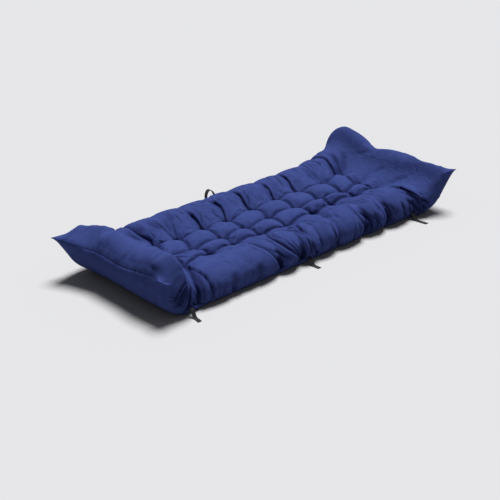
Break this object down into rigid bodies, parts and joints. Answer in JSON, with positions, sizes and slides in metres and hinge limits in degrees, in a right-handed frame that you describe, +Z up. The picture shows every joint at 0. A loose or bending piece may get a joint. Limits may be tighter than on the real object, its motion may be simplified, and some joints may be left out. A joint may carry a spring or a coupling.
{
  "type": "bench seat cushion",
  "caption": "Long tufted seat cushion in navy cloth, both plain ends turned up, with black tie tapes along its edges.",
  "frame": {"origin": "middle of the bottom of the part's box, on the plane that the underside rests on", "axes": "+X along the cushion to its right end, +Y to its back edge, +Z up out of the tufted face"},
  "size_m": [1.2144, 0.5164, 0.1881],
  "materials": {
    "navy_cloth": "matt close plain weave",
    "black_tape": "matt woven tape"
  },
  "bodies": {
    "root": {"cushion": "navy_cloth", "tie_front_left": "black_tape", "tie_front_middle": "black_tape", "tie_front_right": "black_tape", "tie_back_loop": "black_tape"}
  },
  "joints": []
}
